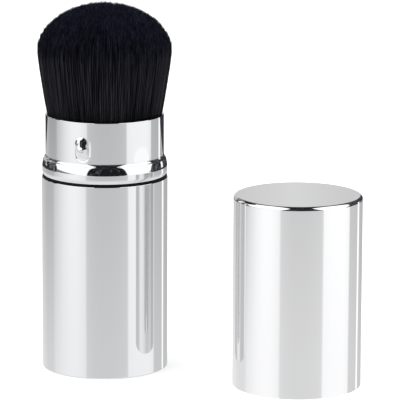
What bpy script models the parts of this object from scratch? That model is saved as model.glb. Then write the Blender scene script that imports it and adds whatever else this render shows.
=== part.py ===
"""Retractable powder brush and its loose cap, both standing on a table.

The handle is a drawn can with a plastic core, a stem and a cup that holds the hair.
A sleeve, made of the neck tube, its collar and a guide ring, slides up out of the
handle and gathers the hair. Metres, +Z up. The origin is the centre of the
handle's base, +X runs towards the cap and -Y towards the viewer.
"""

import math

import bmesh
import bpy
from mathutils import Matrix, Vector

MM = 0.001

# Clearances between pieces
FIT_GAP = 0.3 * MM           # round a piece that is pressed, screwed or glued into another
RUN_GAP = 0.3 * MM           # between the sleeve and what it slides in
SEAM_GAP = 0.15 * MM         # between the faces stacked at the handle's mouth
WELD = 0.01 * MM             # distance at which a turned shape's seam closes

# Handle shell, a drawn can
BODY_RADIUS = 16.5 * MM
BODY_HEIGHT = 51.05 * MM
BODY_WALL = 0.45 * MM
BODY_FLOOR = 0.6 * MM
BODY_EDGE = 0.4 * MM         # outside radius round the base
RIM_BEVEL = 0.12 * MM        # on every thin rim

# Mouth bushing, whose flange shows as a black line
FLANGE_THICK = 0.45 * MM
FLANGE_SETBACK = 0.2 * MM
BUSHING_WALL = 0.45 * MM
BUSHING_LENGTH = 10.0 * MM

# Collar ring
COLLAR_SETBACK = 0.1 * MM    # from the handle's radius
COLLAR_BAND = 2.3 * MM       # height of its straight lower band
COLLAR_CROWN = 2.0 * MM      # height of its rounded top
COLLAR_LIP = 0.8 * MM        # lip that catches under the tube's shoulder

# Sleeve tube
NECK_STEP = 0.9 * MM         # from the collar's radius
NECK_LENGTH = 11.56 * MM     # above the collar
TUBE_WALL = 0.5 * MM
TUBE_SHOULDER = 0.5 * MM     # height over which the neck draws in

# Two stamped pips on the neck, which grip the cap
PIP_RADIUS = 1.65 * MM
PIP_PROUD = 0.45 * MM
PIP_BELOW_MOUTH = 5.55 * MM
PIP_TURN = 23.7              # degrees, from the viewer towards the left
RAMP_HALF_WIDTH = 1.5 * MM
RAMP_HALF_LENGTH = 2.9 * MM
RAMP_PROUD = 0.22 * MM
RAMP_DROP = 1.8 * MM

# Guide ring on the sleeve's lower end
GUIDE_FLANGE = 0.8 * MM
GUIDE_HEIGHT = 4.0 * MM
GUIDE_REST_GAP = 0.8 * MM    # above the base core when the sleeve is down

# Base core
CORE_THICK = 3.2 * MM
CORE_SOCKET_RADIUS = 7.0 * MM
CORE_SOCKET_HEIGHT = 9.0 * MM
CORE_SOCKET_FLOOR = 0.9 * MM  # by which the socket's floor lies above the disc
CORE_RIBS = 4
CORE_RIB_THICK = 1.2 * MM
CORE_RIB_HEIGHT = 5.0 * MM
CORE_RIB_INSET = 1.0 * MM    # from the guide ring's bore

# Stem and its two screws
STEM_RADIUS = 4.0 * MM
SCREW_HEAD_RADIUS = 2.6 * MM
SCREW_HEAD_HEIGHT = 1.6 * MM
SCREW_SHANK_RADIUS = 1.25 * MM
SCREW_SHANK_LENGTH = 7.5 * MM
SCREW_SLOT_WIDTH = 0.6 * MM
SCREW_SLOT_DEPTH = 0.8 * MM
SCREW_POINT = 0.8 * MM

# Hair cup
CUP_WALL = 0.8 * MM
CUP_BELOW_MOUTH = 3.66 * MM
CUP_DEPTH = 11.0 * MM
CUP_DISC = 4.4 * MM
CUP_HUB_RADIUS = 7.0 * MM
CUP_HUB_LENGTH = 5.0 * MM
CUP_HUB_SEAT = 0.9 * MM      # by which the stem's bore enters the disc

# Friction ring in the cup's groove
CORD_RADIUS = 0.85 * MM      # of the O-ring's section
CORD_PROUD = 0.1 * MM        # by which it stands out of the groove

# Binding ring and glue under the hair
BINDING_WALL = 0.35 * MM
BINDING_LENGTH = 7.0 * MM
GLUE_THICK = 1.0 * MM

# Hair
HAIR_ROWS = 8                # rows of strands in each sixth of the tuft
HAIR_PARTING = 0.36 * MM     # between neighbouring strands
HAIR_BELOW_MOUTH = 0.4 * MM  # top of the glued slice
HAIR_FLARE = 2.45 * MM       # by which its waist stands out past the neck
HAIR_WAIST_ABOVE_MOUTH = 15.7 * MM
HAIR_DOME_HEIGHT = 13.5 * MM
HAIR_DOME_POWER = 2.3        # 2 is an ellipse, more is fuller at the shoulder
TIP_SPREAD_SHARE = 0.985     # of the waist's spread that the tips keep
TIP_SIZE_SHARE = 0.5         # of a strand's own width, at its tip

# Cap
CAP_OVERSIZE = 0.15 * MM     # past the handle's radius
CAP_HEIGHT = 50.05 * MM
CAP_WALL = 0.45 * MM
CAP_TOP = 0.6 * MM
CAP_EDGE = 0.95 * MM
CAP_X = 50.4 * MM
CAP_Y = -18.5 * MM

# Sides of round pieces, and steps of round edges
OUTER_SIDES = 56
INNER_SIDES = 40
SMALL_SIDES = 16
CORD_SIDES = 6
EDGE_STEPS = 4
CROWN_STEPS = 5

# Heights and radii that follow from the sizes above
COLLAR_BASE = BODY_HEIGHT + SEAM_GAP + FLANGE_THICK + SEAM_GAP
COLLAR_HEIGHT = COLLAR_BAND + COLLAR_CROWN
COLLAR_RADIUS = BODY_RADIUS - COLLAR_SETBACK
NECK_RADIUS = COLLAR_RADIUS - NECK_STEP
CAP_RADIUS = BODY_RADIUS + CAP_OVERSIZE
MOUTH_HEIGHT = COLLAR_BASE + COLLAR_HEIGHT + NECK_LENGTH
BUSHING_RADIUS = BODY_RADIUS - BODY_WALL - FIT_GAP
SLIDE_RADIUS = BUSHING_RADIUS - BUSHING_WALL - RUN_GAP
SLIDE_BORE = SLIDE_RADIUS - TUBE_WALL
NECK_BORE = NECK_RADIUS - TUBE_WALL
CORE_BASE = BODY_FLOOR + FIT_GAP
GUIDE_BASE = CORE_BASE + CORE_THICK + GUIDE_REST_GAP
TUBE_BASE = GUIDE_BASE + GUIDE_FLANGE + FIT_GAP
GUIDE_BORE = SLIDE_BORE - FIT_GAP
CUP_RADIUS = SLIDE_BORE - RUN_GAP
CUP_BORE = CUP_RADIUS - CUP_WALL
CUP_FLOOR = MOUTH_HEIGHT - CUP_BELOW_MOUTH - CUP_DEPTH
CUP_BASE = CUP_FLOOR - CUP_DISC - CUP_HUB_LENGTH
STEM_BASE = CORE_BASE + CORE_THICK + CORE_SOCKET_FLOOR + FIT_GAP
STEM_TOP = CUP_BASE + CUP_HUB_LENGTH + CUP_HUB_SEAT - FIT_GAP
SCREW_RECESS = SCREW_HEAD_HEIGHT + 2 * FIT_GAP
SCREW_BORE = SCREW_SHANK_RADIUS + FIT_GAP
HEAD_BORE = SCREW_HEAD_RADIUS + FIT_GAP
STEM_BORE = STEM_RADIUS + FIT_GAP
BINDING_RADIUS = CUP_BORE - FIT_GAP
HAIR_ROOT_RADIUS = BINDING_RADIUS - BINDING_WALL - FIT_GAP
HAIR_WAIST_RADIUS = NECK_RADIUS + HAIR_FLARE


def arc(radius_at, height_at, radius, height, start, end, steps):
    """Points along a round edge, as (distance from the axis, height)."""
    points = []
    for step in range(steps + 1):
        angle = math.radians(start + (end - start) * step / steps)
        points.append((radius_at + radius * math.cos(angle), height_at + height * math.sin(angle)))
    return points


def finish(name, colour, roughness, metallic):
    """A plain Principled material."""
    material = bpy.data.materials.new(name)
    material.use_nodes = True
    shader = material.node_tree.nodes["Principled BSDF"]
    shader.inputs["Base Color"].default_value = (*colour, 1.0)
    shader.inputs["Roughness"].default_value = roughness
    shader.inputs["Metallic"].default_value = metallic
    return material


def add_object(name, mesh, collection, parent=None, height=0.0, material=None):
    """Link a mesh as an object that stands on its parent's axis at a height."""
    piece = bpy.data.objects.new(name, mesh)
    collection.objects.link(piece)
    piece.parent = parent
    piece.location.z = height
    if material:
        mesh.materials.append(material)
    return piece


def hide_tool(piece):
    """Keep a cutter or a joined shape out of the model."""
    piece.hide_render = True
    piece.display_type = "WIRE"


def boolean(piece, operation, collection):
    """Join or cut a piece with every object of a collection."""
    modifier = piece.modifiers.new(collection.name, "BOOLEAN")
    modifier.operation = operation
    modifier.operand_type = "COLLECTION"
    modifier.collection = collection
    modifier.solver = "EXACT"


def turned(name, profile, sides, collection, closed=True, **placing):
    """A turned solid: its profile, outer side first and downwards, and a Screw."""
    bm = bmesh.new()
    points = [bm.verts.new((distance, 0.0, height)) for distance, height in profile]
    for first, second in zip(points, points[1:]):
        bm.edges.new((first, second))
    if closed:
        bm.edges.new((points[-1], points[0]))
    mesh = bpy.data.meshes.new(name)
    bm.to_mesh(mesh)
    bm.free()
    piece = add_object(name, mesh, collection, **placing)
    screw = piece.modifiers.new("Turn", "SCREW")
    screw.axis = "Z"
    screw.angle = math.tau
    screw.steps = sides
    screw.render_steps = sides
    screw.use_merge_vertices = True
    screw.merge_threshold = WELD
    screw.use_smooth_shade = True
    return piece


def solid_piece(name, bm, collection, **placing):
    """An object from a finished bmesh."""
    mesh = bpy.data.meshes.new(name)
    bm.to_mesh(mesh)
    bm.free()
    return add_object(name, mesh, collection, **placing)


def ellipsoid(name, radii, collection, parent, turn, distance, height):
    """An ellipsoid whose first radius points outwards, set on a cylinder's wall."""
    bm = bmesh.new()
    bmesh.ops.create_uvsphere(bm, u_segments=SMALL_SIDES, v_segments=SMALL_SIDES // 2, radius=1)
    bmesh.ops.scale(bm, vec=Vector(radii), verts=bm.verts)
    place = Matrix.Rotation(turn, 4, "Z") @ Matrix.Translation((distance, 0.0, 0.0))
    bmesh.ops.transform(bm, matrix=place, verts=bm.verts)
    hide_tool(solid_piece(name, bm, collection, parent=parent, height=height))


def box(name, size, centre, turn, collection, parent, height):
    """A box turned about the vertical axis."""
    bm = bmesh.new()
    bmesh.ops.create_cube(bm, size=1)
    bmesh.ops.scale(bm, vec=Vector(size), verts=bm.verts)
    place = Matrix.Rotation(turn, 4, "Z") @ Matrix.Translation(centre)
    bmesh.ops.transform(bm, matrix=place, verts=bm.verts)
    hide_tool(solid_piece(name, bm, collection, parent=parent, height=height))


def can_profile(radius, height, wall, end, edge):
    """Half section of a drawn can: its flat end at height zero, its rim at the top."""
    inner = radius - wall
    inside = [(0.0, end), (inner, end)]
    if edge > wall:
        inner_edge = edge - wall
        corner = arc(radius - edge, end + inner_edge, inner_edge, inner_edge, -90, 0, EDGE_STEPS)
        inside = [(0.0, end)] + corner
    rim = [(inner, height), (radius - RIM_BEVEL, height), (radius, height - RIM_BEVEL)]
    return inside + rim + arc(radius - edge, edge, edge, edge, 0, -90, EDGE_STEPS) + [(0.0, 0.0)]


def build_body_shell(collection, parent, material):
    """The handle's drawn can."""
    profile = can_profile(BODY_RADIUS, BODY_HEIGHT, BODY_WALL, BODY_FLOOR, BODY_EDGE)
    turned("body_shell", profile, OUTER_SIDES, collection, closed=False, parent=parent, material=material)


def build_mouth_bushing(collection, parent, material):
    """Guide sleeve pressed into the shell's mouth, with a flange on the rim."""
    bore = BUSHING_RADIUS - BUSHING_WALL
    flange = BODY_RADIUS - FLANGE_SETBACK
    under_flange = BUSHING_LENGTH + SEAM_GAP
    top = under_flange + FLANGE_THICK
    profile = [(bore, top), (flange, top), (flange, under_flange), (BUSHING_RADIUS, under_flange),
               (BUSHING_RADIUS, 0.0), (bore, 0.0)]
    turned("mouth_bushing", profile, INNER_SIDES, collection, parent=parent, material=material,
           height=BODY_HEIGHT - BUSHING_LENGTH)


def build_base_core(collection, tools, parent, material):
    """Floor disc with the stem's socket, four ribs and the screw's recess."""
    disc = BODY_RADIUS - BODY_WALL - FIT_GAP
    socket_top = CORE_THICK + CORE_SOCKET_HEIGHT
    socket_floor = CORE_THICK + CORE_SOCKET_FLOOR
    profile = [(STEM_BORE, socket_top), (CORE_SOCKET_RADIUS, socket_top), (CORE_SOCKET_RADIUS, CORE_THICK),
               (disc, CORE_THICK), (disc, 0.0), (HEAD_BORE, 0.0), (HEAD_BORE, SCREW_RECESS),
               (SCREW_BORE, SCREW_RECESS), (SCREW_BORE, socket_floor), (STEM_BORE, socket_floor)]
    core = turned("base_core", profile, INNER_SIDES, collection, parent=parent, material=material,
                  height=CORE_BASE)
    rib_start = (STEM_BORE + CORE_SOCKET_RADIUS) / 2
    rib_end = GUIDE_BORE - CORE_RIB_INSET
    rib_foot = CORE_THICK / 2
    rib_top = CORE_THICK + CORE_RIB_HEIGHT
    size = (rib_end - rib_start, CORE_RIB_THICK, rib_top - rib_foot)
    centre = ((rib_start + rib_end) / 2, 0.0, (rib_foot + rib_top) / 2)
    for number in range(CORE_RIBS):
        turn = math.tau * number / CORE_RIBS
        box(f"rib_{number + 1}", size, centre, turn, tools, parent, CORE_BASE)
    boolean(core, "UNION", tools)


def build_stem(collection, parent, material):
    """Rod with a blind screw hole in each end."""
    length = STEM_TOP - STEM_BASE
    hole = SCREW_SHANK_LENGTH + SCREW_POINT
    profile = [(0.0, length - hole), (SCREW_BORE, length - hole), (SCREW_BORE, length),
               (STEM_RADIUS - RIM_BEVEL, length), (STEM_RADIUS, length - RIM_BEVEL),
               (STEM_RADIUS, RIM_BEVEL), (STEM_RADIUS - RIM_BEVEL, 0.0), (SCREW_BORE, 0.0),
               (SCREW_BORE, hole), (0.0, hole)]
    turned("stem", profile, SMALL_SIDES, collection, closed=False, parent=parent, material=material,
           height=STEM_BASE)


def build_screw(name, collection, tools, parent, material, height, points_up):
    """A screw with a flat head and a crossed slot; its head's outer face is at the height."""
    shank_end = -SCREW_HEAD_HEIGHT - SCREW_SHANK_LENGTH
    profile = [(0.0, 0.0), (SCREW_HEAD_RADIUS, 0.0), (SCREW_HEAD_RADIUS, -SCREW_HEAD_HEIGHT),
               (SCREW_SHANK_RADIUS, -SCREW_HEAD_HEIGHT), (SCREW_SHANK_RADIUS, shank_end),
               (0.0, shank_end - SCREW_POINT)]
    screw = turned(name, profile, SMALL_SIDES, collection, closed=False, parent=parent,
                   material=material, height=height)
    size = (2 * SCREW_HEAD_RADIUS - 2 * SCREW_SLOT_WIDTH, SCREW_SLOT_WIDTH, 2 * SCREW_SLOT_DEPTH)
    for number in range(2):
        turn = number * math.pi / 2
        box(f"{name}_slot_{number + 1}", size, (0.0, 0.0, 0.0), turn, tools, parent, height)
    if points_up:
        screw.rotation_euler.x = math.pi
    boolean(screw, "DIFFERENCE", tools)


def build_tuft_cup(collection, parent, material):
    """Cup for the hair, with the O-ring's groove, the screw's recess and a hub."""
    disc_base = CUP_HUB_LENGTH
    floor = disc_base + CUP_DISC
    top = floor + CUP_DEPTH
    seat = CUP_HUB_LENGTH + CUP_HUB_SEAT
    groove_half = CORD_RADIUS + FIT_GAP
    groove_middle = disc_base + CUP_DISC / 2
    groove_floor = CUP_RADIUS + CORD_PROUD - 2 * CORD_RADIUS - FIT_GAP
    recess = floor - SCREW_RECESS
    profile = [(CUP_BORE, top), (CUP_RADIUS, top), (CUP_RADIUS, groove_middle + groove_half),
               (groove_floor, groove_middle + groove_half), (groove_floor, groove_middle - groove_half),
               (CUP_RADIUS, groove_middle - groove_half), (CUP_RADIUS, disc_base),
               (CUP_HUB_RADIUS, disc_base), (CUP_HUB_RADIUS, 0.0), (STEM_BORE, 0.0), (STEM_BORE, seat),
               (SCREW_BORE, seat), (SCREW_BORE, recess), (HEAD_BORE, recess), (HEAD_BORE, floor),
               (CUP_BORE, floor)]
    turned("tuft_cup", profile, INNER_SIDES, collection, parent=parent, material=material, height=CUP_BASE)


def build_friction_ring(collection, parent, material):
    """Rubber O-ring in the cup's groove."""
    middle = CUP_RADIUS + CORD_PROUD - CORD_RADIUS
    profile = arc(middle, 0.0, CORD_RADIUS, CORD_RADIUS, 90, 90 - 360, CORD_SIDES)[:-1]
    turned("friction_ring", profile, INNER_SIDES, collection, parent=parent, material=material,
           height=CUP_BASE + CUP_HUB_LENGTH + CUP_DISC / 2)


def build_binding_ring(collection, parent, material):
    """Thin ring crimped round the hair's root."""
    bore = BINDING_RADIUS - BINDING_WALL
    profile = [(bore, BINDING_LENGTH), (BINDING_RADIUS, BINDING_LENGTH), (BINDING_RADIUS, 0.0), (bore, 0.0)]
    turned("binding_ring", profile, INNER_SIDES, collection, parent=parent, material=material,
           height=CUP_FLOOR + FIT_GAP)


def build_glue_plug(collection, parent, material):
    """Disc of cured glue under the hair."""
    profile = [(0.0, GLUE_THICK), (HAIR_ROOT_RADIUS, GLUE_THICK), (HAIR_ROOT_RADIUS, 0.0), (0.0, 0.0)]
    turned("glue_plug", profile, INNER_SIDES, collection, closed=False, parent=parent, material=material,
           height=CUP_FLOOR + FIT_GAP)


def dome_height(distance):
    """Height of the hair's dome above its waist, at a distance from the axis."""
    share = min(distance / HAIR_WAIST_RADIUS, 1.0)
    return HAIR_DOME_HEIGHT * (1 - share ** HAIR_DOME_POWER) ** (1 / HAIR_DOME_POWER)


def round_out(point):
    """Move a point of the unit hexagon to the unit disc, so that each hexagon is a circle."""
    if point.length == 0:
        return point
    side = math.pi / 3
    from_side_middle = (math.atan2(point.y, point.x) + side / 2) % side - side / 2
    return point * (math.cos(from_side_middle) / math.cos(side / 2))


def build_bristle_tuft(collection, parent, material):
    """Three-sided strands that stand on the glued slice and fan out to a dome.

    A hexagon of triangles is rounded to a disc, and each triangle is one strand. Every
    height spreads from the axis by one factor, so that no strand meets another.
    """
    slice_top = MOUTH_HEIGHT - HAIR_BELOW_MOUTH
    slice_base = CUP_FLOOR + FIT_GAP + GLUE_THICK + FIT_GAP
    binding_top = CUP_FLOOR + FIT_GAP + BINDING_LENGTH
    cup_lip = CUP_FLOOR + CUP_DEPTH
    top_radius = NECK_BORE - RUN_GAP
    waist = MOUTH_HEIGHT + HAIR_WAIST_ABOVE_MOUTH
    waist_spread = HAIR_WAIST_RADIUS / top_radius
    tip_spread = waist_spread * TIP_SPREAD_SHARE

    bm = bmesh.new()
    bmesh.ops.create_circle(bm, cap_ends=True, cap_tris=True, segments=6, radius=1)
    bmesh.ops.subdivide_edges(bm, edges=bm.edges, cuts=HAIR_ROWS - 1, use_grid_fill=True)
    for vert in bm.verts:
        vert.co = round_out(vert.co) * top_radius
        vert.co.z = slice_top
    cells = list(bm.faces)

    rim = [edge for edge in bm.edges if edge.is_boundary]
    for height, radius in [(cup_lip, CUP_BORE - FIT_GAP), (binding_top, HAIR_ROOT_RADIUS),
                           (slice_base, HAIR_ROOT_RADIUS)]:
        made = bmesh.ops.extrude_edge_only(bm, edges=rim)["geom"]
        rim = [item for item in made if isinstance(item, bmesh.types.BMEdge)]
        for vert in (item for item in made if isinstance(item, bmesh.types.BMVert)):
            direction = Vector((vert.co.x, vert.co.y, 0.0)).normalized()
            vert.co = direction * radius
            vert.co.z = height
    bmesh.ops.contextual_create(bm, geom=rim)

    bmesh.ops.inset_individual(bm, faces=cells, thickness=HAIR_PARTING / 2)
    strands = bmesh.ops.extrude_discrete_faces(bm, faces=cells)["faces"]
    for strand in strands:
        for vert in strand.verts:
            vert.co = Vector((vert.co.x * waist_spread, vert.co.y * waist_spread, waist))
    tips = bmesh.ops.extrude_discrete_faces(bm, faces=strands)["faces"]
    for tip in tips:
        middle = tip.calc_center_median() * (tip_spread / waist_spread)
        middle.z = waist + dome_height(math.hypot(middle.x, middle.y))
        for vert in tip.verts:
            offset = vert.co * (tip_spread / waist_spread) - middle
            vert.co = middle + offset * TIP_SIZE_SHARE
            vert.co.z = middle.z
    bmesh.ops.recalc_face_normals(bm, faces=bm.faces)
    solid_piece("bristle_tuft", bm, collection, parent=parent, material=material)


def build_sleeve_tube(collection, pips, hollows, parent, material):
    """Neck and running tube in one, with two pips stamped from inside."""
    length = MOUTH_HEIGHT - TUBE_BASE
    shoulder = COLLAR_BASE + COLLAR_LIP + FIT_GAP - TUBE_BASE
    profile = [(NECK_BORE, length), (NECK_RADIUS - RIM_BEVEL, length), (NECK_RADIUS, length - RIM_BEVEL),
               (NECK_RADIUS, shoulder + TUBE_SHOULDER), (SLIDE_RADIUS, shoulder), (SLIDE_RADIUS, 0.0),
               (SLIDE_BORE, 0.0), (SLIDE_BORE, shoulder), (NECK_BORE, shoulder + TUBE_SHOULDER)]
    tube = turned("sleeve_tube", profile, OUTER_SIDES, collection, parent=parent, material=material,
                  height=TUBE_BASE)
    pip_height = MOUTH_HEIGHT - PIP_BELOW_MOUTH
    first_turn = math.radians(-90 - PIP_TURN)
    for number, turn in enumerate((first_turn, first_turn + math.pi), start=1):
        ellipsoid(f"pip_{number}", (PIP_PROUD, PIP_RADIUS, PIP_RADIUS), pips, parent, turn,
                  NECK_RADIUS, pip_height)
        ellipsoid(f"pip_ramp_{number}", (RAMP_PROUD, RAMP_HALF_WIDTH, RAMP_HALF_LENGTH), pips, parent, turn,
                  NECK_RADIUS, pip_height - RAMP_DROP)
        ellipsoid(f"pip_hollow_{number}", (PIP_PROUD, PIP_RADIUS, PIP_RADIUS), hollows, parent, turn,
                  NECK_BORE, pip_height)
    boolean(tube, "DIFFERENCE", hollows)
    boolean(tube, "UNION", pips)


def build_collar_ring(collection, parent, material):
    """Polished ring with a straight band, a rounded crown and an inner lip."""
    bore = NECK_RADIUS + FIT_GAP
    lip_bore = SLIDE_RADIUS + FIT_GAP
    crown = arc(bore, COLLAR_BAND, COLLAR_RADIUS - bore, COLLAR_CROWN, 90, 0, CROWN_STEPS)
    profile = crown + [(COLLAR_RADIUS, RIM_BEVEL), (COLLAR_RADIUS - RIM_BEVEL, 0.0), (lip_bore, 0.0),
                       (lip_bore, COLLAR_LIP), (bore, COLLAR_LIP)]
    turned("collar_ring", profile, OUTER_SIDES, collection, parent=parent, material=material,
           height=COLLAR_BASE)


def build_guide_ring(collection, parent, material):
    """Ring snapped on the tube's lower end, which stops under the bushing."""
    bore = SLIDE_RADIUS + FIT_GAP
    profile = [(bore, GUIDE_HEIGHT), (BUSHING_RADIUS, GUIDE_HEIGHT), (BUSHING_RADIUS, 0.0),
               (GUIDE_BORE, 0.0), (GUIDE_BORE, GUIDE_FLANGE), (bore, GUIDE_FLANGE)]
    turned("guide_ring", profile, INNER_SIDES, collection, parent=parent, material=material,
           height=GUIDE_BASE)


def build_cap_shell(collection, parent, material):
    """The drawn cap, closed at the top and standing on its open rim."""
    profile = can_profile(CAP_RADIUS, CAP_HEIGHT, CAP_WALL, CAP_TOP, CAP_EDGE)
    upright = [(distance, CAP_HEIGHT - height) for distance, height in reversed(profile)]
    turned("cap_shell", upright, OUTER_SIDES, collection, closed=False, parent=parent, material=material)


def add_empty(name, collection, x=0.0, y=0.0):
    """An empty on the axis of one moving group."""
    empty = bpy.data.objects.new(name, None)
    collection.objects.link(empty)
    empty.location = (x, y, 0.0)
    return empty


def new_collection(name):
    """A collection linked to the scene."""
    collection = bpy.data.collections.new(name)
    bpy.context.scene.collection.children.link(collection)
    return collection


def build():
    """The whole brush and its cap."""
    for item in list(bpy.data.objects):
        bpy.data.objects.remove(item, do_unlink=True)

    brush = new_collection("Retractable brush")
    rib_tools = new_collection("Core ribs")
    lower_slots = new_collection("Lower screw slots")
    upper_slots = new_collection("Upper screw slots")
    pips = new_collection("Pips")
    hollows = new_collection("Pip hollows")

    handle_metal = finish("handle aluminium", (0.83, 0.84, 0.85), 0.08, 1.0)
    neck_metal = finish("neck aluminium", (0.84, 0.85, 0.86), 0.06, 1.0)
    collar_metal = finish("collar aluminium", (0.84, 0.85, 0.86), 0.06, 1.0)
    cap_metal = finish("cap aluminium", (0.83, 0.84, 0.85), 0.08, 1.0)
    binding_metal = finish("binding aluminium", (0.80, 0.81, 0.83), 0.3, 1.0)
    black_plastic = finish("black plastic", (0.02, 0.02, 0.022), 0.45, 0.0)
    white_plastic = finish("natural plastic", (0.78, 0.77, 0.73), 0.5, 0.0)
    steel = finish("zinc-plated steel", (0.62, 0.62, 0.60), 0.35, 1.0)
    rubber = finish("black rubber", (0.015, 0.015, 0.015), 0.7, 0.0)
    glue = finish("cured glue", (0.72, 0.62, 0.38), 0.3, 0.0)
    hair = finish("black hair", (0.012, 0.014, 0.02), 0.55, 0.0)

    handle = add_empty("handle_axis", brush)
    sleeve = add_empty("sleeve_axis", brush)
    cap = add_empty("cap_axis", brush, CAP_X, CAP_Y)

    build_body_shell(brush, handle, handle_metal)
    build_mouth_bushing(brush, handle, black_plastic)
    build_base_core(brush, rib_tools, handle, white_plastic)
    build_stem(brush, handle, white_plastic)
    build_screw("lower_screw", brush, lower_slots, handle, steel, CORE_BASE + FIT_GAP, points_up=True)
    build_tuft_cup(brush, handle, black_plastic)
    build_screw("upper_screw", brush, upper_slots, handle, steel, CUP_FLOOR - FIT_GAP, points_up=False)
    build_friction_ring(brush, handle, rubber)
    build_binding_ring(brush, handle, binding_metal)
    build_glue_plug(brush, handle, glue)
    build_bristle_tuft(brush, handle, hair)

    build_sleeve_tube(brush, pips, hollows, sleeve, neck_metal)
    build_collar_ring(brush, sleeve, collar_metal)
    build_guide_ring(brush, sleeve, black_plastic)

    build_cap_shell(brush, cap, cap_metal)


build()
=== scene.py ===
"""Retractable powder brush and its loose cap on a pale table, in soft studio light.

The sections follow the brush as it is put together: the handle and what is fixed in
it, the hair, the sleeve that slides over the hair, and the cap that stands beside it.
"""

import math
import random

import bmesh
import bpy
from mathutils import Matrix, Vector, noise


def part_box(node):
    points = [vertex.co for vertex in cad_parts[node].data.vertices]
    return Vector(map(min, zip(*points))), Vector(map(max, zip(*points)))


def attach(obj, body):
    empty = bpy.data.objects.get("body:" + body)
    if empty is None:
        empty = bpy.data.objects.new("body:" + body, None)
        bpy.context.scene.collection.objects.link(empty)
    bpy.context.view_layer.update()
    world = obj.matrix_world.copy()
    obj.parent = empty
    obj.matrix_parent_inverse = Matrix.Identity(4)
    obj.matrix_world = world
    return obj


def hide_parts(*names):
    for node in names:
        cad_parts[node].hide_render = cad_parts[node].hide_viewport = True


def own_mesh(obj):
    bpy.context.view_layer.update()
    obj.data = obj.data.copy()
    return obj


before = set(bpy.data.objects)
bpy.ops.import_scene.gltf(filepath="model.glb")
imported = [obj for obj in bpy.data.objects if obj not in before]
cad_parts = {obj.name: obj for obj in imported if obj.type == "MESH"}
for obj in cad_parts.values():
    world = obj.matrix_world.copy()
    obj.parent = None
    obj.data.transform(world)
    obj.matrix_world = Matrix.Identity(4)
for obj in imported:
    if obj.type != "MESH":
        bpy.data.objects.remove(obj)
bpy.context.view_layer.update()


# Handle shell: a can drawn from aluminium sheet, closed at the bottom and polished to a
# mirror on the lathe. Its rim is turned to a fine bevel, and its base to a small radius.

MM = 0.001
WELD = 0.001 * MM
RING_HOLD = 0.05 * MM         # from a corner to the ring that keeps the wall beside it flat
FINE_SIDES = 320
RIM_BEVEL = 0.08 * MM
EDGE_STEPS = 8

handle_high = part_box("body_shell")[1]
HANDLE_RADIUS = handle_high.x
HANDLE_WALL = 0.45 * MM
HANDLE_FLOOR = 0.6 * MM
HANDLE_EDGE = 0.4 * MM
HANDLE_COLOUR = (0.80, 0.805, 0.81)
POLISH_LINES = 0.00002 * MM   # depth of the finest lines that a mirror polish leaves


def arc(distance, height, radius, start, end, steps):
    """Points of a round corner, as (distance from the axis, height)."""
    turns = [math.radians(start + (end - start) * step / steps) for step in range(steps + 1)]
    return [(distance + radius * math.cos(turn), height + radius * math.sin(turn)) for turn in turns]


def hold_corners(profile, closed):
    """Add a point beside each corner, so that smooth shading leaves the straight runs flat."""
    ends = profile[1:] + profile[:1] if closed else profile[1:]
    held = []
    for start, end in zip(profile, ends):
        run = Vector(end) - Vector(start)
        held.append(start)
        if run.length > 4 * RING_HOLD:
            step = run.normalized() * RING_HOLD
            held += [tuple(Vector(start) + step), tuple(Vector(end) - step)]
    return held if closed else held + profile[-1:]


def turn(profile, sides=FINE_SIDES):
    """A bmesh of the half section turned about the vertical axis; it may end on the axis."""
    closed = profile[0][0] > 0
    held = hold_corners(profile, closed)
    bm = bmesh.new()
    points = [bm.verts.new((distance, 0.0, height)) for distance, height in held]
    for first, second in zip(points, points[1:]):
        bm.edges.new((first, second))
    if closed:
        bm.edges.new((points[-1], points[0]))
    bmesh.ops.spin(bm, geom=bm.verts[:] + bm.edges[:], cent=Vector(), axis=(0, 0, 1),
                   angle=math.tau, steps=sides, use_merge=True)
    bmesh.ops.remove_doubles(bm, verts=bm.verts, dist=WELD)
    return bm


def finished(name, bm, material, sharp_angle=35):
    """The object of a bmesh, smooth but for its sharp edges."""
    bmesh.ops.recalc_face_normals(bm, faces=bm.faces)
    mesh = bpy.data.meshes.new(name)
    bm.to_mesh(mesh)
    bm.free()
    mesh.shade_smooth()
    mesh.set_sharp_from_angle(angle=math.radians(sharp_angle))
    mesh.materials.append(material)
    piece = bpy.data.objects.new(name, mesh)
    bpy.context.scene.collection.objects.link(piece)
    return piece


def can_section(radius, height, wall, end, edge):
    """Half section of a can whose closed end is at height zero, its rim at the top."""
    inside_edge = max(edge - wall, RIM_BEVEL)
    inside = arc(radius - wall - inside_edge, end + inside_edge, inside_edge, -90, 0, EDGE_STEPS)
    rim = [(radius - wall, height), (radius - RIM_BEVEL, height), (radius, height - RIM_BEVEL)]
    outside = arc(radius - edge, edge, edge, 0, -90, EDGE_STEPS)
    return [(0.0, end)] + inside + rim + outside + [(0.0, 0.0)]


def add_node(tree, kind, inputs=None, **settings):
    """Add a node with its settings, and a value or a link for each of its named inputs."""
    node = tree.nodes.new(kind)
    for setting, value in settings.items():
        setattr(node, setting, value)
    for socket, value in (inputs or {}).items():
        if isinstance(value, bpy.types.NodeSocket):
            tree.links.new(value, node.inputs[socket])
        else:
            node.inputs[socket].default_value = value
    return node


def mixed(tree, factor, first, second, blend="MIX"):
    """A mix of two colours; 6 and 7 are the colour sockets of a mix node, and 2 its result."""
    mix = add_node(tree, "ShaderNodeMix", {0: factor, 6: first, 7: second}, data_type="RGBA",
                   blend_type=blend)
    return mix.outputs[2]


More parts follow.
